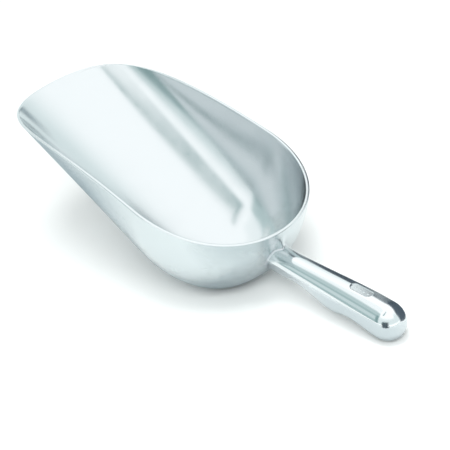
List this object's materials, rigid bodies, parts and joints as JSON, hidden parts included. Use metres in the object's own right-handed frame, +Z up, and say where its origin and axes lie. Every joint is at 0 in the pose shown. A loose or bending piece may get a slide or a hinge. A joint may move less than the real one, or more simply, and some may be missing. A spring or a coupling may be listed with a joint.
{
  "type": "ice scoop",
  "caption": "Cast aluminium ice scoop with a deep round-backed bowl, raised wide lip and a contoured solid grip, resting on its heel and butt.",
  "frame": {"origin": "on the table under the middle of the scoop's bounding box, as it rests on the heel of the bowl and the butt of the grip", "axes": "+X towards the lip, +Z up; the grip lies along -X and the scoop is symmetric about the X-Z plane"},
  "size_m": [0.37, 0.1404, 0.1169],
  "materials": {
    "satin_casting": "sand-cast, belt-finished to an even satin outside and buffed brighter inside",
    "polished_casting": "cast, tumbled and buffed to a near mirror",
    "dressed_weld": "small weld fillet, dressed by hand"
  },
  "bodies": {
    "root": {"bowl": "satin_casting", "handle": "polished_casting", "neck_weld": "dressed_weld"}
  },
  "joints": []
}
